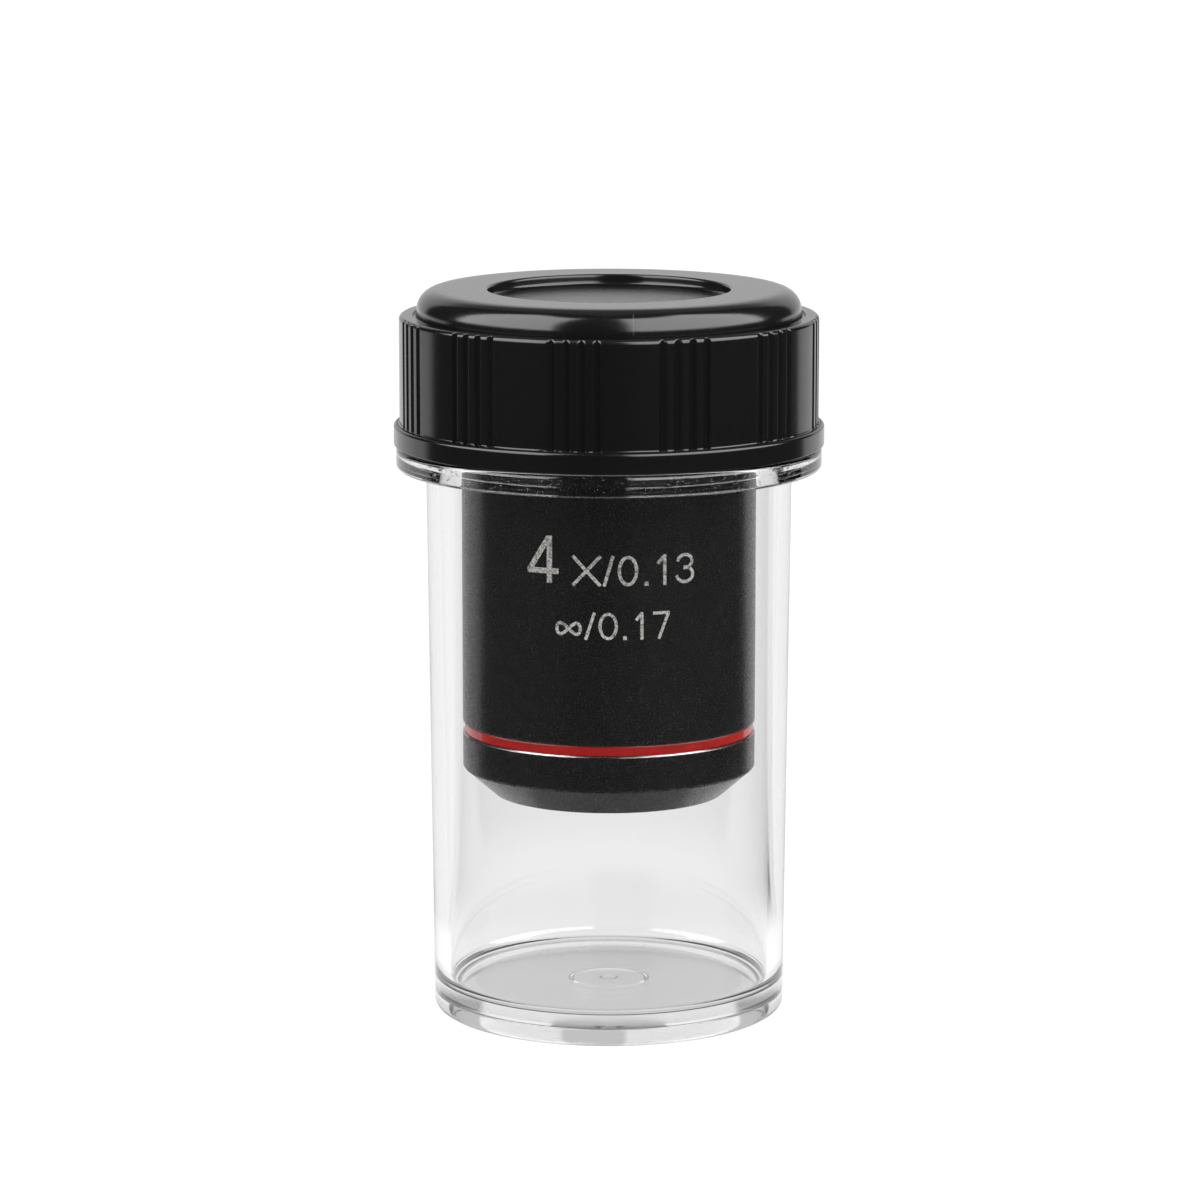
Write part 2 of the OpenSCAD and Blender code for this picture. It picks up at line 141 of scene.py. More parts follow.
# Makes an object from points in mm and lists of faces, smooth shaded
def meshObject(name, points, faces, materials, faceMaterial=None):
    mesh = bpy.data.meshes.new(name)
    loops = np.concatenate([f.ravel() for f in faces]).astype(np.int32)
    sizes = np.concatenate([np.full(len(f), f.shape[1]) for f in faces])
    starts = (np.cumsum(sizes) - sizes).astype(np.int32)
    mesh.vertices.add(len(points))
    mesh.vertices.foreach_set("co", (points * mm).astype(np.float32).ravel())
    mesh.loops.add(len(loops))
    mesh.loops.foreach_set("vertex_index", loops)
    mesh.polygons.add(len(sizes))
    mesh.polygons.foreach_set("loop_start", starts)
    mesh.polygons.foreach_set("use_smooth", np.ones(len(sizes), bool))
    for material in materials:
        mesh.materials.append(material)
    if faceMaterial is not None:
        mesh.polygons.foreach_set("material_index", faceMaterial.astype(np.int32))
    mesh.update(calc_edges=True)
    mesh.validate()
    made = bpy.data.objects.new(name, mesh)
    scene.collection.objects.link(made)
    return made


# Turned surface: the point of row i and column j is the profile's point (radius, height) carried
# round the axis to angle theta, x = r sin(theta), y = -r cos(theta), so theta is 0 at the front
# and grows towards +X. radius may have one column, or one for each angle. A row on the axis
# closes to one point; a ring's last row joins its first.
def turned(name, radius, height, theta, materials, ring=False, rowMaterial=None):
    rows, columns = len(height), len(theta)
    r = np.broadcast_to(radius, (rows, columns))
    z = np.broadcast_to(height.reshape(rows, -1), (rows, columns))
    points = np.stack([r * np.sin(theta), -r * np.cos(theta), z], 2).reshape(-1, 3)
    index = np.arange(rows * columns).reshape(rows, columns)
    if not ring:
        index[0], index[-1] = index[0, 0], index[-1, 0]
    low = index if ring else index[:-1]
    high = np.roll(index, -1, 0) if ring else index[1:]
    quads = np.stack([low, np.roll(low, -1, 1), np.roll(high, -1, 1), high], 2)
    rowOf = np.repeat(np.arange(len(low)), columns).reshape(len(low), columns)
    if ring:
        faces, rowOf = [quads.reshape(-1, 4)], rowOf.ravel()
    else:
        bottom, top = quads[0][:, [0, 2, 3]], quads[-1][:, [0, 1, 2]]
        faces = [quads[1:-1].reshape(-1, 4), bottom, top]
        rowOf = np.concatenate([rowOf[1:-1].ravel(), rowOf[0], rowOf[-1]])
    used, inverse = np.unique(np.concatenate([f.ravel() for f in faces]), return_inverse=True)
    ends = np.cumsum([f.size for f in faces])[:-1]
    faces = [part.reshape(f.shape) for part, f in zip(np.split(inverse, ends), faces)]
    faceMaterial = None if rowMaterial is None else rowMaterial[rowOf]
    return meshObject(name, points[used], faces, materials, faceMaterial)


# Height of a screw thread's ridge over the wall it stands on. Its middle climbs one pitch a turn
# from start; the flanks slope over the outer part of its width, and both ends fade out.
def threadRidge(theta, z, start, pitch, turns, width, ridge, fade=0.12):
    rise = np.zeros(np.broadcast(theta, z).shape)
    for k in range(int(np.ceil(turns)) + 1):
        along = theta / (2 * np.pi) + k
        off = np.abs(z - start - pitch * along)
        flank = np.clip((width / 2 - off) / (0.3 * width), 0, 1)
        ends = np.clip(along / fade, 0, 1) * np.clip((turns - along) / fade, 0, 1)
        rise = np.maximum(rise, ridge * flank * ends)
    return rise


# Angles of evenly spaced columns, once round
def evenTurn(columns):
    return np.arange(columns) * 2 * np.pi / columns


# Lens surface between two rims: each face is part of a sphere that stands out by its bulge, or
# hollows in where the bulge is negative, height = rim + sign * (sqrt(R^2 - r^2) - sqrt(R^2 - rim^2)),
# with R the radius of that sphere
def lensProfile(rimR, low, bulgeLow, high, bulgeHigh, edge=0.12, steps=14):
    def face(rimZ, bulge):
        r = np.linspace(0, rimR - edge, steps)
        ball = (rimR ** 2 + bulge ** 2) / (2 * abs(bulge))
        rise = np.sqrt(ball ** 2 - r ** 2) - np.sqrt(ball ** 2 - rimR ** 2)
        return r, rimZ + np.sign(bulge) * rise
    rLow, up = face(0, bulgeLow)
    rHigh, down = face(0, bulgeHigh)
    zLow, zHigh = low - up, high + down
    side = [(rimR, low + edge), (rimR, high - edge)]
    return np.concatenate([np.stack([rLow, zLow], 1), side, np.stack([rHigh, zHigh], 1)[::-1]])


# Lets a piece ride on its body and hides the nodes that it stands for
def place(made, body, slot, *nodes):
    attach(made, body)
    if nodes:
        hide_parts(*nodes)
    print("  ", made.name, len(made.data.polygons), "faces")


# Clear injection moulded polystyrene: glassy, high gloss, sharp bright edges from its high index.
# The flange keeps a few of the cutter's marks of its mould, dashes 0.5 mm long and 0.1 mm high that
# glint. The underside of its floor is lightly frosted. Lamps shine through it, so shadow rays pass.
clearFinish = {
    "marksLow": (47.2, 47.4), "marksHigh": (48.4, 48.6),    # mm up, where the marks set in and die out
    "markDepth": 0.02,      # mm
    "frostRadius": 11.5, "frostTop": 1.8,       # mm; what lies inside and below them is frosted
    "frost": 0.14,      # roughness
}


def clearPolystyrene(finish):
    material, tree = newMaterial("clear moulded polystyrene")
    where = addNode(tree, "ShaderNodeTexCoord").outputs["Object"]
    waves = addNode(tree, "ShaderNodeTexNoise", {"Vector": where, "Scale": 1 / (9 * mm),
                                                 "Detail": 1.0})
    flat = addNode(tree, "ShaderNodeMapping", {"Vector": where, "Scale": (1, 1, 4)})
    dashes = addNode(tree, "ShaderNodeTexNoise", {"Vector": flat.outputs[0], "Scale": 1 / (0.5 * mm),
                                                  "Detail": 2.0})
    raised = addNode(tree, "ShaderNodeMapRange", {"Value": dashes.outputs["Fac"], "From Min": 0.65,
                                                  "From Max": 0.74})
    height = addNode(tree, "ShaderNodeSeparateXYZ", {0: where}).outputs["Z"]
    setsIn, full = finish["marksLow"]
    above = addNode(tree, "ShaderNodeMapRange", {"Value": height, "From Min": setsIn * mm,
                                                 "From Max": full * mm})
    fades, gone = finish["marksHigh"]
    below = addNode(tree, "ShaderNodeMapRange", {"Value": height, "From Min": fades * mm,
                                                 "From Max": gone * mm, "To Min": 1.0, "To Max": 0.0})
    flange = addNode(tree, "ShaderNodeMath", {0: above.outputs[0], 1: below.outputs[0]},
                     operation="MULTIPLY")
    marks = addNode(tree, "ShaderNodeBump", {"Strength": flange.outputs[0],
                                             "Distance": finish["markDepth"] * mm,
                                             "Height": raised.outputs[0]})
    bump = addNode(tree, "ShaderNodeBump", {"Strength": 0.12, "Distance": 0.05 * mm,
                                            "Height": waves.outputs["Fac"],
                                            "Normal": marks.outputs["Normal"]})
    level = addNode(tree, "ShaderNodeVectorMath", {0: where, 1: (1, 1, 0)},
                    operation="MULTIPLY")
    away = addNode(tree, "ShaderNodeVectorMath", {0: level.outputs[0]},
                   operation="LENGTH").outputs["Value"]
    inFoot = addNode(tree, "ShaderNodeMath", {0: away, 1: finish["frostRadius"] * mm},
                     operation="LESS_THAN")
    low = addNode(tree, "ShaderNodeMath", {0: height, 1: finish["frostTop"] * mm}, operation="LESS_THAN")
    underside = addNode(tree, "ShaderNodeMath", {0: inFoot.outputs[0], 1: low.outputs[0]},
                        operation="MULTIPLY")
    frost = addNode(tree, "ShaderNodeMath", {0: underside.outputs[0], 1: finish["frost"]},
                    operation="MULTIPLY")
    clear = addNode(tree, "ShaderNodeBsdfPrincipled", {
        "Base Color": linearColour("#fefefe"), "Roughness": frost.outputs[0], "IOR": 1.59,
        "Transmission Weight": 1.0, "Normal": bump.outputs["Normal"]})
    path = addNode(tree, "ShaderNodeLightPath")
    through = addNode(tree, "ShaderNodeBsdfTransparent", {"Color": linearColour("#f0f0f0")})
    mixed = addNode(tree, "ShaderNodeMixShader", {0: path.outputs["Is Shadow Ray"],
                                                  1: clear.outputs[0], 2: through.outputs[0]})
    addNode(tree, "ShaderNodeOutputMaterial", {"Surface": mixed.outputs[0]})
    return material


# Moulded gloss black ABS: a deep black that shows the room softly, with faint waves from the mould,
# and a weld line about 0.1 mm wide at the front of the dome's edge, where the melt met; its pale grey is
# a painted highlight
weldLineHighlight = ((1.95, 0.06), (-15.85, 0.42), (60.9, 0.85))     # mm, its middle and half width in x, y and z


def blackAbs():
    material, tree = newMaterial("moulded gloss black ABS")
    where = addNode(tree, "ShaderNodeTexCoord").outputs["Object"]
    waves = addNode(tree, "ShaderNodeTexNoise", {"Vector": where, "Scale": 1 / (5 * mm),
                                                 "Detail": 2.0})
    fine = addNode(tree, "ShaderNodeTexNoise", {"Vector": where, "Scale": 1 / (0.5 * mm),
                                                "Detail": 3.0})
    sheen = addNode(tree, "ShaderNodeMapRange", {"Value": fine.outputs["Fac"], "To Min": 0.12,
                                                 "To Max": 0.2})
    bump = addNode(tree, "ShaderNodeBump", {"Strength": 0.15, "Distance": 0.05 * mm,
                                            "Height": waves.outputs["Fac"]})
    axes = addNode(tree, "ShaderNodeSeparateXYZ", {0: where}).outputs
    weldHighlight = 1.0
    for axis, (middle, reach) in zip(axes, weldLineHighlight):
        near = addNode(tree, "ShaderNodeMath", {0: axis, 1: middle * mm, 2: reach * mm},
                       operation="COMPARE")
        weldHighlight = addNode(tree, "ShaderNodeMath", {0: weldHighlight, 1: near.outputs[0]},
                       operation="MULTIPLY").outputs[0]
    # Painted highlight: the weld line is coloured pale grey where its small ridge would catch the light
    tone = addNode(tree, "ShaderNodeMix", {"Factor": weldHighlight, "A": linearColour("#0d0d0e"),
                                           "B": linearColour("#2c2c2c")}, data_type="RGBA")
    plastic = addNode(tree, "ShaderNodeBsdfPrincipled", {
        "Base Color": tone.outputs["Result"], "Roughness": sheen.outputs[0], "IOR": 1.54,
        "Normal": bump.outputs["Normal"]})
    addNode(tree, "ShaderNodeOutputMaterial", {"Surface": plastic.outputs[0]})
    return material


# The same ABS, moulded against a spark eroded face: a satin grain, about 0.35 mm
def grainedAbs():
    material, tree = newMaterial("grained black ABS")
    where = addNode(tree, "ShaderNodeTexCoord").outputs["Object"]
    grain = addNode(tree, "ShaderNodeTexNoise", {"Vector": where, "Scale": 1 / (0.35 * mm),
                                                 "Detail": 3.0, "Roughness": 0.6})
    bump = addNode(tree, "ShaderNodeBump", {"Strength": 0.35, "Distance": 0.06 * mm,
                                            "Height": grain.outputs["Fac"]})
    plastic = addNode(tree, "ShaderNodeBsdfPrincipled", {
        "Base Color": linearColour("#0c0c0d"), "Roughness": 0.2, "IOR": 1.54,
        "Normal": bump.outputs["Normal"]})
    addNode(tree, "ShaderNodeOutputMaterial", {"Surface": plastic.outputs[0]})
    return material


# Bead blasted, black anodised aluminium: satin black with a fine sparkle where light grazes it.
# The beads leave pits of about 0.06 mm, drawn at 0.15 mm so that they show.
def blackAnodised():
    material, tree = newMaterial("black anodised aluminium")
    where = addNode(tree, "ShaderNodeTexCoord").outputs["Object"]
    pits = addNode(tree, "ShaderNodeTexNoise", {"Vector": where, "Scale": 1 / (0.15 * mm),
                                                "Detail": 2.0, "Roughness": 0.7})
    tone = addNode(tree, "ShaderNodeValToRGB", {"Fac": pits.outputs["Fac"]})
    tone.color_ramp.elements[0].position = 0.45
    tone.color_ramp.elements[0].color = linearColour("#050505")
    tone.color_ramp.elements[1].position = 0.75
    tone.color_ramp.elements[1].color = linearColour("#0b0b0b")
    bump = addNode(tree, "ShaderNodeBump", {"Strength": 0.35, "Distance": 0.01 * mm,
                                            "Height": pits.outputs["Fac"]})
    sheen = addNode(tree, "ShaderNodeMapRange", {"Value": pits.outputs["Fac"], "From Min": 0.3,
                                                 "From Max": 0.7, "To Min": 0.19, "To Max": 0.3})
    metal = addNode(tree, "ShaderNodeBsdfPrincipled", {
        "Base Color": tone.outputs["Color"], "Roughness": sheen.outputs[0], "IOR": 1.45,
        "Normal": bump.outputs["Normal"]})
    addNode(tree, "ShaderNodeOutputMaterial", {"Surface": metal.outputs[0]})
    return material


# Brushed-in red enamel: glossy, slightly thick, uneven in depth along the groove
def redEnamel():
    material, tree = newMaterial("red enamel")
    where = addNode(tree, "ShaderNodeTexCoord").outputs["Object"]
    flow = addNode(tree, "ShaderNodeTexNoise", {"Vector": where, "Scale": 1 / (1.5 * mm),
                                                "Detail": 2.0})
    tone = addNode(tree, "ShaderNodeMix", {"Factor": flow.outputs["Fac"], "A": linearColour("#740a07"),
                                           "B": linearColour("#96120b")}, data_type="RGBA")
    bump = addNode(tree, "ShaderNodeBump", {"Strength": 0.3, "Distance": 0.02 * mm,
                                            "Height": flow.outputs["Fac"]})
    paint = addNode(tree, "ShaderNodeBsdfPrincipled", {
        "Base Color": tone.outputs["Result"], "Roughness": 0.22, "IOR": 1.5, "Coat Weight": 0.4,
        "Normal": bump.outputs["Normal"]})
    addNode(tree, "ShaderNodeOutputMaterial", {"Surface": paint.outputs[0]})
    return material


# Bare aluminium, where the tool cut the groove's lip after anodising: bright and clean
def cutAluminium():
    material, tree = newMaterial("freshly cut aluminium")
    where = addNode(tree, "ShaderNodeTexCoord").outputs["Object"]
    chatter = addNode(tree, "ShaderNodeTexNoise", {"Vector": where, "Scale": 1 / (0.6 * mm),
                                                   "Detail": 2.0})
    sheen = addNode(tree, "ShaderNodeMapRange", {"Value": chatter.outputs["Fac"], "To Min": 0.1,
                                                 "To Max": 0.2})
    metal = addNode(tree, "ShaderNodeBsdfPrincipled", {
        "Base Color": linearColour("#b9b7b4"), "Roughness": sheen.outputs[0], "Metallic": 1.0})
    addNode(tree, "ShaderNodeOutputMaterial", {"Surface": metal.outputs[0]})
    return material


# Turned brass with fine tool rings 0.1 mm apart: bare it is a warm yellow metal, and chemically
# blackened a dark brown-black one. A wave texture of Scale 1 repeats about every 0.31.
def turnedBrass(name, colour, roughness):
    material, tree = newMaterial(name)
    where = addNode(tree, "ShaderNodeTexCoord").outputs["Object"]
    rings = addNode(tree, "ShaderNodeTexWave", {"Vector": where,
                                                "Scale": 0.31 / (0.1 * mm), "Distortion": 0.4},
                    bands_direction="Z")
    bump = addNode(tree, "ShaderNodeBump", {"Strength": 0.3, "Distance": 0.01 * mm,
                                            "Height": rings.outputs["Fac"]})
    metal = addNode(tree, "ShaderNodeBsdfPrincipled", {
        "Base Color": linearColour(colour), "Roughness": roughness, "Metallic": 1.0,
        "Normal": bump.outputs["Normal"]})
    addNode(tree, "ShaderNodeOutputMaterial", {"Surface": metal.outputs[0]})
    return material


# Black oxide screw steel: dull grey-black, a little mottled
def blackOxideSteel():
    material, tree = newMaterial("black oxide steel")
    where = addNode(tree, "ShaderNodeTexCoord").outputs["Object"]
    mottle = addNode(tree, "ShaderNodeTexNoise", {"Vector": where, "Scale": 1 / (0.4 * mm)})
    sheen = addNode(tree, "ShaderNodeMapRange", {"Value": mottle.outputs["Fac"], "To Min": 0.3,
                                                 "To Max": 0.45})
    metal = addNode(tree, "ShaderNodeBsdfPrincipled", {
        "Base Color": linearColour("#4a4a4c"), "Roughness": sheen.outputs[0], "Metallic": 1.0})
    addNode(tree, "ShaderNodeOutputMaterial", {"Surface": metal.outputs[0]})
    return material


# Soft polyethylene: milky, matt and faintly waxy
def softPolyethylene():
    material, tree = newMaterial("soft polyethylene")
    where = addNode(tree, "ShaderNodeTexCoord").outputs["Object"]
    cloud = addNode(tree, "ShaderNodeTexNoise", {"Vector": where, "Scale": 1 / (2 * mm)})
    bump = addNode(tree, "ShaderNodeBump", {"Strength": 0.2, "Distance": 0.03 * mm,
                                            "Height": cloud.outputs["Fac"]})
    wax = addNode(tree, "ShaderNodeBsdfPrincipled", {
        "Base Color": linearColour("#e4e4de"), "Roughness": 0.5, "IOR": 1.51,
        "Normal": bump.outputs["Normal"]})
    addNode(tree, "ShaderNodeOutputMaterial", {"Surface": wax.outputs[0]})
    return material


# Polished optical glass with an antireflection coating: clear, with a faint purple-green bloom
def coatedGlass(name, ior):
    material, tree = newMaterial(name)
    glass = addNode(tree, "ShaderNodeBsdfPrincipled", {
        "Base Color": linearColour("#f6fbfa"), "Roughness": 0.0, "IOR": ior,
        "Transmission Weight": 1.0, "Thin Film Thickness": 280.0, "Thin Film IOR": 1.38})
    path = addNode(tree, "ShaderNodeLightPath")
    through = addNode(tree, "ShaderNodeBsdfTransparent")
    mixed = addNode(tree, "ShaderNodeMixShader", {0: path.outputs["Is Shadow Ray"],
                                                  1: glass.outputs[0], 2: through.outputs[0]})
    addNode(tree, "ShaderNodeOutputMaterial", {"Surface": mixed.outputs[0]})
    return material


# Laser engraving in anodised aluminium: pale grey and powdery, with dark specks left between the
# laser's lines. The specks are drawn at 0.18 mm, coarser than real, so that they show.
def laserGrey():
    material, tree = newMaterial("laser engraved marking")
    where = addNode(tree, "ShaderNodeTexCoord").outputs["Object"]
    specks = addNode(tree, "ShaderNodeTexNoise", {"Vector": where, "Scale": 1 / (0.18 * mm),
                                                  "Detail": 2.0, "Roughness": 0.7})
    tone = addNode(tree, "ShaderNodeValToRGB", {"Fac": specks.outputs["Fac"]})
    tone.color_ramp.elements[0].position = 0.35
    tone.color_ramp.elements[0].color = linearColour("#454440")
    tone.color_ramp.elements[1].position = 0.6
    tone.color_ramp.elements[1].color = linearColour("#b8b6b1")
    mark = addNode(tree, "ShaderNodeBsdfPrincipled", {"Base Color": tone.outputs["Color"],
                                                      "Roughness": 0.7})
    addNode(tree, "ShaderNodeOutputMaterial", {"Surface": mark.outputs[0]})
    return material


polystyrene = clearPolystyrene(clearFinish)
glossAbs = blackAbs()
discAbs = grainedAbs()
anodised = blackAnodised()
enamel = redEnamel()
bareMetal = cutAluminium()
darkBrass = turnedBrass("blackened brass", "#2b2723", 0.34)
brass = turnedBrass("turned brass", "#cfa962", 0.28)
screwSteel = blackOxideSteel()
polyethylene = softPolyethylene()
crownGlass = coatedGlass("coated crown glass", 1.52)
flintGlass = coatedGlass("coated flint glass", 1.65)
marking = laserGrey()
print("materials made")


jarShape = {
    "columns": 480,
    "neckR": 15.75,     # mm, the wall that carries the thread
    "thread": {"start": 50.6, "pitch": 3.0, "turns": 1.3, "width": 1.1, "ridge": 0.55},
    "threadRows": (49.3, 56.8, 0.13),       # mm up, lowest, highest and step
    "corners": [
        (0, 1.4, 0), (0.7, 1.4, 0.2), (0.75, 1.65, 0.1), (3.1, 1.65, 0.25), (3.4, 1.3, 0.25),
        (13.0, 1.3, 0.2), (13.2, 0, 0.15), (14.99, 0, 0.7), (15.5, 46.9, 0.2), (18.03, 46.9, 0.35),
        (18.03, 48.85, 0.45), (15.75, 48.85, 0.2), (15.75, 57.15, 0.2), (14.35, 57.15, 0.2),
        (14.35, 46.9, 3.0), (13.65, 2.45, 1.0), (0, 2.45, 0),
    ],
}


# The jar's profile turned once round, with the thread's ridge added to the neck's radius
def makeJar(shape):
    profile = withRows(roundedProfile(shape["corners"]), shape["neckR"], np.arange(*shape["threadRows"]))
    theta = evenTurn(shape["columns"])
    r, z = profile[:, :1], profile[:, 1:]
    onNeck = np.abs(r - shape["neckR"]) < 1e-6
    ridge = threadRidge(theta[None], z, **shape["thread"]) * onNeck
    return turned("clearJar", r + ridge, profile[:, 1], theta, [polystyrene])


print("jar and lid")
place(makeJar(jarShape), "jar", "clear_plastic", "jar")


lidShape = {
    "skirtR": 17.73, "flangeTop": 50.67, "innerR": 16.5,
    "groups": 12, "grooves": 4, "pitch": 1.28, "width": 0.12, "depth": 0.25, "slope": 0.3,
    "firstGroup": 20.5,     # degrees from the front towards +X
    "sidePlaces": (0, 0.1, 0.2, 0.75, 0.85, 0.95, 1.05, 1.15),      # up a groove's slope, 1 at its top
    "sideShares": (1, 0.98, 0.92, 0.22, 0.11, 0.03, 0, 0),      # of the groove's depth, at those places
    "panelColumns": 4,      # between two groups of grooves
    "discZ": 61.12,     # the grained disc in the dome
    "thread": {"start": 50.2, "pitch": 3.0, "turns": 1.3, "width": 1.1, "ridge": 0.17},
    "threadRows": (49.3, 57.8, 0.16),       # mm up, lowest, highest and step
    "corners": [
        (0, 59.62, 0), (10.2, 59.62, 0.3), (10.2, 54.04, 0.15), (12.0, 54.04, 0.2), (12.0, 58.24, 0.3),
        (16.5, 58.24, 0.3), (16.5, 48.87, 0.15), (18.23, 48.87, 0.15), (18.23, 50.67, 0.25),
        (17.73, 50.67, 0.15), (17.73, 59.84, 0.35), (16.6, 59.84, 0.06), (16.6, 59.64, 0.04),
        (16.25, 59.64, 0.12), (16.25, 62.02, 1.75), (10.25, 62.02, 0.22), (10.2, 61.12, 0.3),
        (0, 61.12, 0),
    ],
}


# Middles of one group's grooves, mm along the skirt from the group's own middle
def grooveMiddles(shape):
    return (np.arange(shape["grooves"]) - (shape["grooves"] - 1) / 2) * shape["pitch"]


# Angles of the lid's columns: close together across each groove, wider over the panels between
def lidAngles(shape):
    side = shape["width"] / 2 + shape["slope"] * np.array(shape["sidePlaces"])
    side = np.concatenate([-side[::-1], side])
    grooves = (grooveMiddles(shape)[:, None] + side).ravel()
    turn = 2 * np.pi * shape["skirtR"] / shape["groups"]
    panel = np.linspace(grooves[-1], grooves[0] + turn, shape["panelColumns"] + 2)[1:-1]
    arcs = np.arange(shape["groups"])[:, None] * turn + np.concatenate([grooves, panel])
    return np.sort((arcs.ravel() / shape["skirtR"] + np.radians(shape["firstGroup"])) % (2 * np.pi))


# Share of the grooves' depth at each angle: 1 on a groove's floor, and on its slopes, which are
# straight and eased into the floor and the skirt, what sideShares has at sidePlaces
def grooveMask(theta, shape):
    turn = 2 * np.pi / shape["groups"]
    off = (theta - np.radians(shape["firstGroup"]) + turn / 2) % turn - turn / 2
    arc = off * shape["skirtR"]
    nearest = np.abs(arc[:, None] - grooveMiddles(shape)).min(1)
    across = (nearest - shape["width"] / 2) / shape["slope"]
    return np.interp(across, shape["sidePlaces"], shape["sideShares"])


# The lid's profile turned once round. In a groove, above the flange, the radius is at most
# skirt radius - depth * mask, and the thread's ridge stands inwards from the inner wall.
def makeLid(shape):
    profile = roundedProfile(shape["corners"])
    profile = withRows(profile, shape["innerR"], np.arange(*shape["threadRows"]))
    theta = lidAngles(shape)
    heights = profile[:, 1]
    r, z = profile[:, :1], profile[:, 1:]
    mask = grooveMask(theta, shape)[None]
    inGroove = (mask > 0) & (z > shape["flangeTop"] + 1e-3)
    radius = np.where(inGroove, np.minimum(r, shape["skirtR"] - shape["depth"] * mask), r)
    onWall = np.abs(r - shape["innerR"]) < 1e-6
    radius = radius - threadRidge(theta[None], z, **shape["thread"]) * onWall
    onDisc = np.abs(heights - shape["discZ"]) < 1e-6
    return turned("screwLid", radius, heights, theta, [glossAbs, discAbs],
                  rowMaterial=np.where(onDisc[:-1] & onDisc[1:], 1, 0))


place(makeLid(lidShape), "lid", "black_plastic", "lid")


barrelShape = {
    "columns": 360,
    "lip": (12.2, 24.3, 24.425),        # mm; bare metal outside this radius, between these heights
    "corners": [
        (11.03, 21.44, 0.05), (12.5, 21.44, 0.06), (12.5, 24.3, 0.06), (12.38, 24.42, 0.03),
        (12.15, 24.42, 0.05), (12.15, 25.27, 0.05), (12.38, 25.27, 0.03), (12.5, 25.39, 0.06),
        (12.5, 51.5, 0.12), (10.78, 51.5, 0.1), (10.78, 24.3, 0.1), (11.03, 24.02, 0.1),
    ],
}
noseShape = {
    "columns": 360,
    "corners": [
        (6.2, 19.02, 0.1), (9.9, 19.02, 0.12), (12.5, 21.42, 0.08), (10.98, 21.42, 0.05),
        (10.98, 24.0, 0.1), (8.93, 24.0, 0.1), (8.93, 20.02, 0.1), (6.2, 20.02, 0.1),
    ],
}
enamelShape = {
    "columns": 360,
    "corners": [(12.17, 24.44, 0.02), (12.35, 24.44, 0.1), (12.35, 25.25, 0.1), (12.17, 25.25, 0.02)],
}
mountShape = {
    "columns": 288,
    "threadR": 10.13, "threadPitch": 0.7056, "threadDepth": 0.4,
    "threadRows": (55.2, 58.18, 0.07),      # mm up, lowest, highest and step
    "grooveShape": (1.15, 0.08),        # steepens the groove's sides, and leaves its crest a flat
    "corners": [
        (8.98, 38.02, 0.1), (10.73, 38.02, 0.15), (10.73, 51.52, 0.05), (12.5, 51.52, 0.12),
        (12.5, 54.02, 0.12), (9.68, 54.02, 0.05), (9.68, 54.72, 0.05), (10.13, 55.17, 0.05),
        (10.13, 58.22, 0.05), (9.73, 58.62, 0.05), (8.98, 58.62, 0.1),
    ],
}


# A closed profile turned once round. Faces on the lip, where the shape has one, take the second
# material.
def makeRing(name, shape, *materials):
    profile = roundedProfile(shape["corners"], closed=True)
    inner, low, high = shape.get("lip", (0, 0, 0))
    middle = (profile + np.roll(profile, -1, 0)) / 2
    onLip = (middle[:, 0] > inner) & (middle[:, 1] > low) & (middle[:, 1] < high)
    return turned(name, profile[:, :1], profile[:, 1], evenTurn(shape["columns"]), materials, ring=True,
                  rowMaterial=np.where(onLip, 1, 0))


# The mounting thread is a helix of 60 degree grooves: the radius falls from its crest by a share
# of the depth that rises and falls once in each pitch, and shifts one pitch in each turn.
def makeMount(shape):
    profile = roundedProfile(shape["corners"], closed=True)
    profile = withRows(profile, shape["threadR"], np.arange(*shape["threadRows"]))
    theta = evenTurn(shape["columns"])
    r, z = profile[:, :1], profile[:, 1:]
    phase = (z / shape["threadPitch"] - theta[None] / (2 * np.pi)) % 1
    steep, flat = shape["grooveShape"]
    groove = np.clip(steep * (1 - 2 * np.abs(phase - 0.5)) - flat, 0, 1)
    onThread = np.abs(r - shape["threadR"]) < 1e-6
    return turned("mountBody", r - shape["threadDepth"] * groove * onThread, profile[:, 1], theta,
                  [darkBrass], ring=True)


print("objective")
place(makeRing("barrelSleeve", barrelShape, anodised, bareMetal),
      "objective", "black_anodised", "barrel_sleeve")
place(makeRing("noseCap", noseShape, anodised), "objective", "black_anodised", "nose_cap")
place(makeRing("colourRing", enamelShape, enamel), "objective", "red_enamel", "colour_ring")
place(makeMount(mountShape), "objective", "blackened_brass", "mount_body")


# Each lens: radius of its rim, how far its lower and its upper face stand out, in mm, and its glass
lensShapes = {
    "front_lens": (5.5, -0.5, 1.2, crownGlass),
    "crown_lens_a": (7.9, 1.2, 1.5, crownGlass),
    "flint_lens_a": (7.9, -1.5, 0.4, flintGlass),
    "crown_lens_b": (7.9, 0.7, 1.5, crownGlass),
    "flint_lens_b": (7.9, -1.5, -0.3, flintGlass),
}
lensColumns = 144
for node, (rim, bulgeLow, bulgeHigh, glass) in lensShapes.items():
    low, high = (corner.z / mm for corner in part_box(node))
    profile = lensProfile(rim, low + max(bulgeLow, 0), bulgeLow, high - max(bulgeHigh, 0), bulgeHigh)
    first, *others = node.split("_")
    name = first + "".join(word.title() for word in others)
    lens = turned(name, profile[:, :1], profile[:, 1], evenTurn(lensColumns), [glass])
    place(lens, "objective", "optical_glass", node)


# Points on part of an ellipse: its middle and half widths, and its start and end in degrees
def arcStroke(x, y, rx, ry, start, end, steps=24):
    t = np.radians(np.linspace(start, end, steps))
    return np.stack([x + rx * np.cos(t), y + ry * np.sin(t)], 1)


# A lying figure of eight: across = cos(t), up = sin(2 t), scaled to a box from 0 to 1
def eightStroke(steps=60):
    t = np.linspace(0, 2 * np.pi, steps)
    return np.stack([0.5 + 0.5 * np.cos(t), 0.5 + 0.5 * np.sin(2 * t)], 1)


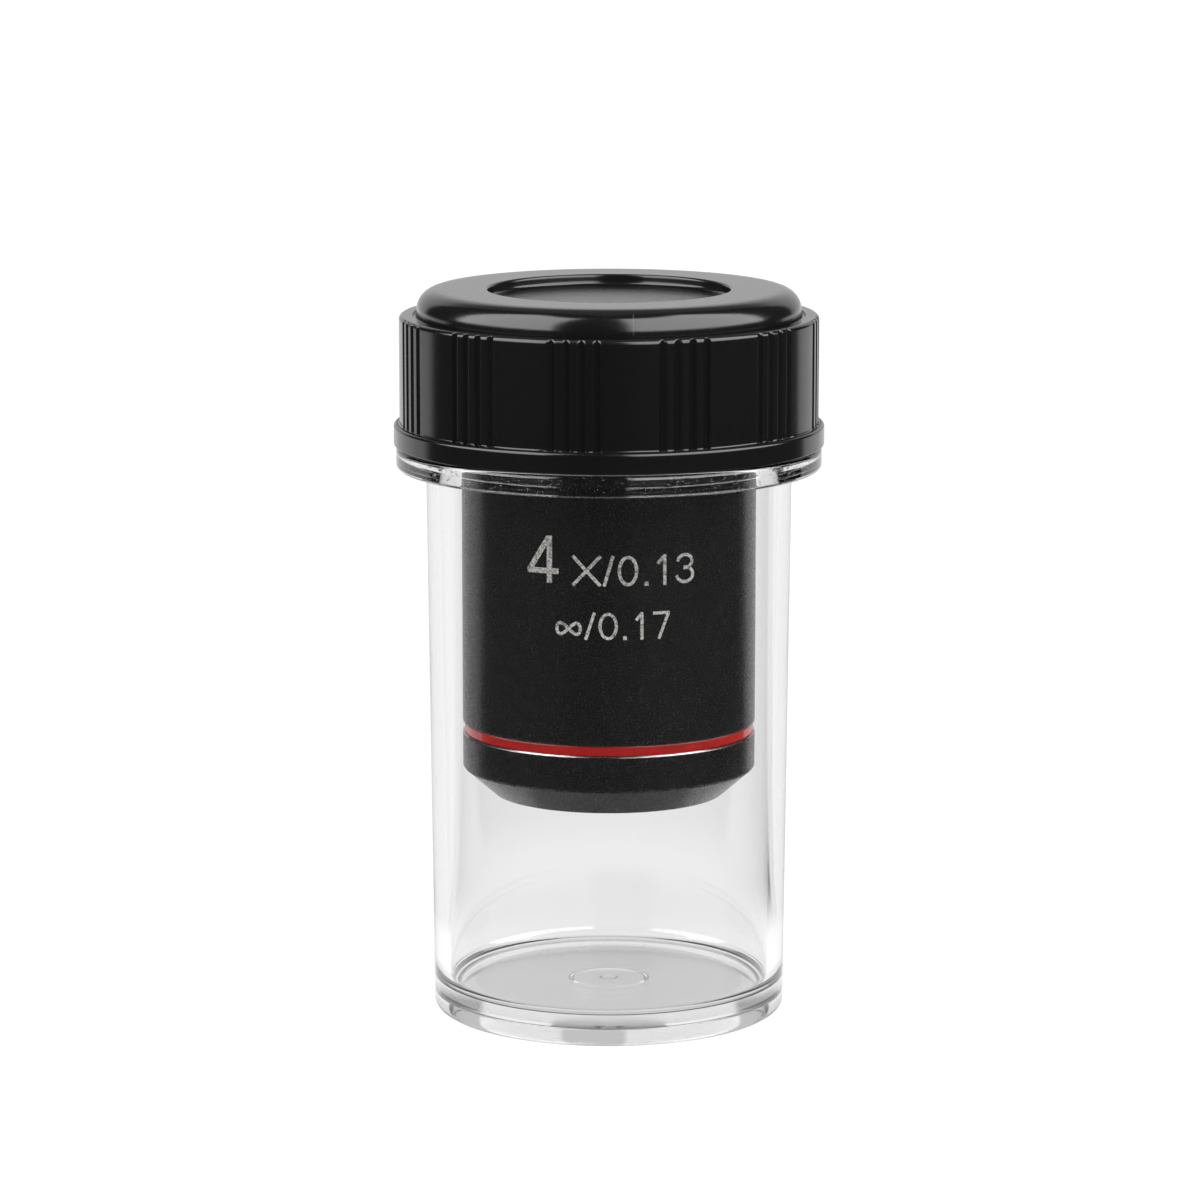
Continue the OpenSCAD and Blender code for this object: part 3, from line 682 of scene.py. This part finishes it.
# Each figure's strokes: lines of points in the figure's box, 0 to 1 across and up
figureStrokes = {
    "4": [[(0.68, 0.97), (0.02, 0.25)], [(0.02, 0.22), (1, 0.22)], [(0.76, 1), (0.76, 0)]],
    "X": [[(0, 0), (1, 1)], [(0, 1), (1, 0)]],
    "/": [[(0, 0), (1, 1)]],
    "0": [arcStroke(0.5, 0.5, 0.5, 0.5, 0, 360, 40)],
    ".": [[(0.5, 0), (0.5, 1)]],
    "1": [[(0.1, 0.78), (0.65, 0.98)], [(0.8, 1), (0.8, 0)]],
    "3": [arcStroke(0.47, 0.76, 0.47, 0.24, 165, -90), arcStroke(0.47, 0.27, 0.53, 0.27, 90, -165)],
    "7": [[(0, 1), (1, 1)], [(1, 0.96), (0.35, 0)]],
    "infinity": [eightStroke()],
}
markingShape = {
    "barrelR": 12.5, "proud": 0.006, "sunk": 0.05,      # mm, its bands stand out and reach in this far
    "step": 0.07,       # mm between a band's points
    "figures": [    # figure, left and right along the barrel, foot and top, stroke's width, all in mm
        ("4", -6.95, -4.15, 38.95, 42.9, 0.46), ("X", -3.02, -0.66, 38.8, 41.35, 0.27),
        ("/", -0.5, 0.4, 38.8, 41.35, 0.27), ("0", 0.68, 2.35, 38.8, 41.35, 0.27),
        (".", 2.88, 3.22, 38.8, 39.15, 0.34), ("1", 3.86, 4.86, 38.8, 41.35, 0.27),
        ("3", 5.6, 7.25, 38.8, 41.35, 0.27),
        ("infinity", -4.42, -2.22, 34.6, 35.8, 0.26), ("/", -2.0, -1.1, 34.3, 36.6, 0.25),
        ("0", -0.86, 0.7, 34.3, 36.6, 0.25), (".", 1.12, 1.43, 34.3, 34.62, 0.3),
        ("1", 2.07, 2.9, 34.3, 36.6, 0.25), ("7", 3.6, 5.0, 34.3, 36.6, 0.25),
    ],
}


# A flat band of even width along a line of points, cut square at both ends half a width past
# them, then bent onto the barrel: angle = distance along / barrel radius
def strokeBand(line, width, shape):
    closed = np.linalg.norm(line[0] - line[-1]) < 1e-6
    if not closed:
        first, last = line[0] - line[1], line[-1] - line[-2]
        line = np.concatenate([[line[0] + first / np.linalg.norm(first) * width / 2], line,
                               [line[-1] + last / np.linalg.norm(last) * width / 2]])
    reach = np.concatenate([[0], np.cumsum(np.linalg.norm(np.diff(line, axis=0), axis=1))])
    at = np.linspace(0, reach[-1], max(4, int(reach[-1] / shape["step"])))
    path = np.stack([np.interp(at, reach, line[:, k]) for k in (0, 1)], 1)
    along = np.gradient(path, axis=0)
    if closed:
        along[[0, -1]] = path[1] - path[-2]
    across = np.stack([-along[:, 1], along[:, 0]], 1) / np.linalg.norm(along, axis=1)[:, None]
    left, right = path + across * (width / 2), path - across * (width / 2)
    high, low = shape["barrelR"] + shape["proud"], shape["barrelR"] - shape["sunk"]
    rails = []
    for side, r in ((left, high), (right, high), (right, low), (left, low)):
        angle = side[:, 0] / shape["barrelR"]
        rails.append(np.stack([r * np.sin(angle), -r * np.cos(angle), side[:, 1]], 1))
    grid = np.stack(rails, 1)
    if closed:
        grid = grid[:-1]
    index = np.arange(grid.shape[0] * 4).reshape(-1, 4)
    here = index if closed else index[:-1]
    there = np.roll(index, -1, 0) if closed else index[1:]
    quads = np.stack([here, np.roll(here, -1, 1), np.roll(there, -1, 1), there], 2).reshape(-1, 4)
    if not closed:
        quads = np.concatenate([quads, index[:1, ::-1], index[-1:]])
    return grid.reshape(-1, 3), quads


# All figures in one mesh, flat shaded because a band's edges are sharp: point of a figure = its
# lower left corner + half a stroke + the stroke's point * the size that is left inside half a stroke
def makeMarking(shape):
    points, faces, offset = [], [], 0
    for figure, left, right, foot, top, stroke in shape["figures"]:
        corner = np.array([left + stroke / 2, foot + stroke / 2])
        scale = np.maximum([right - left - stroke, top - foot - stroke], 1e-3)
        for line in figureStrokes[figure]:
            band, quads = strokeBand(corner + np.array(line) * scale, stroke, shape)
            points.append(band)
            faces.append(quads + offset)
            offset += len(band)
    made = meshObject("engravedNumbers", np.concatenate(points), faces, [marking])
    made.data.polygons.foreach_set("use_smooth", np.zeros(len(made.data.polygons), bool))
    return made


place(makeMarking(markingShape), "objective", "black_anodised")


# CAD nodes that keep their own mesh
keptNodes = {
    "sealing_ring": polyethylene, "parfocal_ring": brass, "set_screws": screwSteel,
    "lens_tube": anodised, "rear_retainer": anodised, "front_cell": anodised, "front_retainer": anodised,
    "front_spacer": anodised, "middle_spacer": anodised, "aperture_stop": anodised,
    "rear_spacer": anodised,
}
for node, material in keptNodes.items():
    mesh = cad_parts[node].data
    mesh.materials.clear()
    mesh.materials.append(material)
print("kept nodes dressed:", len(keptNodes))


# Bearings are degrees from the camera's side (-Y), + towards +X. Heights in the world are sines of
# the angle above the horizon. An edge is how far a thing fades on either side of its limit.
studio = {
    "room": 0.045,      # radiance of the dark room on the camera's side
    "wall": 0.87, "wallFrom": 141.0, "wallEdge": 2.0,       # white wall behind, from this bearing round
    "wallTop": 0.55, "wallTopEdge": 0.1, "wallAbove": 0.25,     # share of its white above its top
    "softbox": 6.0,     # two softboxes, left and right, with a gap between them for the camera
    "leftBox": (-102.0, -34.0), "rightBox": (12.0, 104.0), "boxEdge": 3.0,
    "boxFoot": (0.03, 0.13), "boxHead": (0.92, 0.95),       # heights over which they set in and end
    "boxInside": 0.12,      # share of them that is left after two mirrorings, inside the clear jar
    "backdrop": 1.05, "throughClear": 0.88,     # the camera's white, straight on and through the jar
    "floorSize": 3.0, "floorZ": -0.03,      # metres across; mm up, a hair below the jar's foot
    "floorGlow": 0.86, "floorThrough": 0.95,        # its white, straight on and through the jar
    # Painted shadow under the jar: the floor's glow falls to this share there, fading out between these
    # mm from the axis
    "paintedShadowUnderJar": 0.56, "paintedShadowEdge": (13.0, 17.0),        # share of it under the jar, and mm to its edge
    "paper": "#5a5a5a",     # its colour where light falls on it
    # What mirrors the floor, or is lit by it, sees paper near the object, which ends between these
    # distances in metres, and behind the object, beyond these bearings on the left and right
    "sheet": 0.88, "sheetNear": 1.15, "sheetEnd": (0.0315, 0.0585),
    "sheetLeft": 111.0, "sheetLeftEdge": 3.0, "sheetRight": 124.0, "sheetRightEdge": 2.0,
}
smooth = {"interpolation_type": "SMOOTHSTEP"}


# Bearing in degrees from the camera's side (-Y), + towards +X: the arc tangent of x over -y
def addBearing(tree, x, y):
    forward = addNode(tree, "ShaderNodeMath", {0: y, 1: -1.0}, operation="MULTIPLY")
    angle = addNode(tree, "ShaderNodeMath", {0: x, 1: forward.outputs[0]}, operation="ARCTAN2")
    return addNode(tree, "ShaderNodeMath", {0: angle.outputs[0]}, operation="DEGREES").outputs[0]


# One strength for what the camera sees straight on, one for what it sees through clear pieces
# without a mirroring on the way, and one that lights and mirrors
def addSeen(tree, lit, straight, through):
    path = addNode(tree, "ShaderNodeLightPath")
    bounced = addNode(tree, "ShaderNodeMath", {0: path.outputs["Glossy Depth"],
                                               1: path.outputs["Diffuse Depth"]}, operation="ADD")
    unbounced = addNode(tree, "ShaderNodeMath", {0: 1.0, 1: bounced.outputs[0]}, operation="SUBTRACT",
                        use_clamp=True)
    passed = addNode(tree, "ShaderNodeMath", {0: path.outputs["Is Transmission Ray"],
                                              1: unbounced.outputs[0]}, operation="MULTIPLY")
    clear = addNode(tree, "ShaderNodeMix", {"Factor": passed.outputs[0], "A": lit, "B": through})
    seen = addNode(tree, "ShaderNodeMix", {"Factor": path.outputs["Is Camera Ray"],
                                           "A": clear.outputs["Result"], "B": straight})
    return seen.outputs["Result"]


# Studio: a dark room on the camera's side, a white wall behind, two softboxes in front
def makeWorld(light):
    world = bpy.data.worlds.new("studio")
    scene.world = world
    world.use_nodes = True
    tree = world.node_tree
    tree.nodes.clear()
    way = addNode(tree, "ShaderNodeTexCoord")
    x, y, z = addNode(tree, "ShaderNodeSeparateXYZ", {0: way.outputs["Generated"]}).outputs
    bearing = addBearing(tree, x, y)
    aside = addNode(tree, "ShaderNodeMath", {0: bearing}, operation="ABSOLUTE")
    wallSide = addNode(tree, "ShaderNodeMapRange", {
        "Value": aside.outputs[0], "From Min": light["wallFrom"] - light["wallEdge"],
        "From Max": light["wallFrom"] + light["wallEdge"]}, **smooth)
    wallUp = addNode(tree, "ShaderNodeMapRange", {
        "Value": z, "From Min": light["wallTop"] - light["wallTopEdge"],
        "From Max": light["wallTop"] + light["wallTopEdge"],
        "To Min": light["wall"], "To Max": light["wallAbove"] * light["wall"]}, **smooth)
    wall = addNode(tree, "ShaderNodeMath", {0: wallSide.outputs[0], 1: wallUp.outputs[0]},
                   operation="MULTIPLY")
    boxes, edge = 0.0, light["boxEdge"]
    for start, end in (light["leftBox"], light["rightBox"]):
        opens = addNode(tree, "ShaderNodeMapRange", {
            "Value": bearing, "From Min": start - edge, "From Max": start + edge}, **smooth)
        closes = addNode(tree, "ShaderNodeMapRange", {
            "Value": bearing, "From Min": end - edge, "From Max": end + edge,
            "To Min": 1.0, "To Max": 0.0}, **smooth)
        box = addNode(tree, "ShaderNodeMath", {0: opens.outputs[0], 1: closes.outputs[0]},
                      operation="MULTIPLY")
        boxes = addNode(tree, "ShaderNodeMath", {0: boxes, 1: box.outputs[0]}, operation="ADD").outputs[0]
    low, high = light["boxFoot"]
    foot = addNode(tree, "ShaderNodeMapRange", {
        "Value": z, "From Min": low, "From Max": high, "To Max": light["softbox"]}, **smooth)
    low, high = light["boxHead"]
    head = addNode(tree, "ShaderNodeMapRange", {
        "Value": z, "From Min": low, "From Max": high, "To Min": 1.0, "To Max": 0.0}, **smooth)
    upright = addNode(tree, "ShaderNodeMath", {0: foot.outputs[0], 1: head.outputs[0]},
                      operation="MULTIPLY")
    path = addNode(tree, "ShaderNodeLightPath")
    inside = addNode(tree, "ShaderNodeMapRange", {
        "Value": path.outputs["Glossy Depth"], "From Min": 1.0, "From Max": 2.0,
        "To Min": 1.0, "To Max": light["boxInside"]})
    dimmed = addNode(tree, "ShaderNodeMath", {0: boxes, 1: inside.outputs[0]}, operation="MULTIPLY")
    lit = addNode(tree, "ShaderNodeMath", {0: dimmed.outputs[0], 1: upright.outputs[0], 2: light["room"]},
                  operation="MULTIPLY_ADD")
    room = addNode(tree, "ShaderNodeMath", {0: lit.outputs[0], 1: wall.outputs[0]}, operation="ADD")
    shine = addNode(tree, "ShaderNodeBackground", {
        "Strength": addSeen(tree, room.outputs[0], light["backdrop"], light["throughClear"])})
    addNode(tree, "ShaderNodeOutputWorld", {"Surface": shine.outputs[0]})


# White paper floor, lit from behind, with a painted shadow that dims its glow under the jar. What mirrors
# it sees white paper near the object and behind it, and a dark table further out in front.
def whiteSweep(light):
    material, tree = newMaterial("white paper sweep")
    spot = addNode(tree, "ShaderNodeNewGeometry")
    x, y = addNode(tree, "ShaderNodeSeparateXYZ", {0: spot.outputs["Position"]}).outputs[:2]
    level = addNode(tree, "ShaderNodeCombineXYZ", {"X": x, "Y": y})
    away = addNode(tree, "ShaderNodeVectorMath", {0: level.outputs[0]},
                   operation="LENGTH").outputs["Value"]
    bearing = addBearing(tree, x, y)
    nearest, furthest = light["sheetEnd"]
    near = addNode(tree, "ShaderNodeMapRange", {
        "Value": away, "From Min": nearest, "From Max": furthest,
        "To Min": light["sheetNear"], "To Max": 0.0}, **smooth)
    left = addNode(tree, "ShaderNodeMapRange", {
        "Value": bearing, "From Min": -light["sheetLeft"] - light["sheetLeftEdge"],
        "From Max": -light["sheetLeft"] + light["sheetLeftEdge"],
        "To Min": 1.0, "To Max": 0.0}, **smooth)
    right = addNode(tree, "ShaderNodeMapRange", {
        "Value": bearing, "From Min": light["sheetRight"] - light["sheetRightEdge"],
        "From Max": light["sheetRight"] + light["sheetRightEdge"]}, **smooth)
    behind = addNode(tree, "ShaderNodeMath", {0: left.outputs[0], 1: right.outputs[0]},
                     operation="MAXIMUM")
    paper = addNode(tree, "ShaderNodeMath", {0: near.outputs[0], 1: behind.outputs[0]},
                    operation="MAXIMUM")
    mirrored = addNode(tree, "ShaderNodeMath", {0: paper.outputs[0], 1: light["sheet"], 2: light["room"]},
                       operation="MULTIPLY_ADD")
    # Painted shadow: dims the floor's glow under the jar, for what mirrors it and for what looks through
    # the jar
    under, out = light["paintedShadowEdge"]
    shade = addNode(tree, "ShaderNodeMapRange", {"Value": away, "From Min": under * mm,
                                                 "From Max": out * mm,
                                                 "To Min": light["paintedShadowUnderJar"]}, **smooth)
    shaded = addNode(tree, "ShaderNodeMath", {0: mirrored.outputs[0], 1: shade.outputs[0]},
                     operation="MULTIPLY")
    through = addNode(tree, "ShaderNodeMath", {0: shade.outputs[0], 1: light["floorThrough"]},
                      operation="MULTIPLY")
    glow = addNode(tree, "ShaderNodeEmission", {
        "Strength": addSeen(tree, shaded.outputs[0], light["floorGlow"], through.outputs[0])})
    path = addNode(tree, "ShaderNodeLightPath")
    white = addNode(tree, "ShaderNodeBsdfDiffuse", {"Color": linearColour(light["paper"])})
    unlit = addNode(tree, "ShaderNodeBsdfDiffuse", {"Color": (0, 0, 0, 1)})
    sheet = addNode(tree, "ShaderNodeMixShader", {0: path.outputs["Is Camera Ray"], 1: unlit.outputs[0],
                                                  2: white.outputs[0]})
    both = addNode(tree, "ShaderNodeAddShader", {0: glow.outputs[0], 1: sheet.outputs[0]})
    below = addNode(tree, "ShaderNodeBsdfTransparent")
    sided = addNode(tree, "ShaderNodeMixShader", {0: spot.outputs["Backfacing"], 1: both.outputs[0],
                                                  2: below.outputs[0]})
    addNode(tree, "ShaderNodeOutputMaterial", {"Surface": sided.outputs[0]})
    return material


# The floor: one square face, seen from above only
def makeFloor(light):
    half = light["floorSize"] / 2 / mm
    corners = np.array([(x, y, light["floorZ"]) for x, y in
                        ((-half, -half), (half, -half), (half, half), (-half, half))])
    floor = meshObject("floor", corners, [np.array([[0, 1, 2, 3]])], [whiteSweep(light)])


makeWorld(studio)
makeFloor(studio)
scene.view_settings.view_transform = "Standard"
scene.view_settings.look = "None"
print("floor and light made")
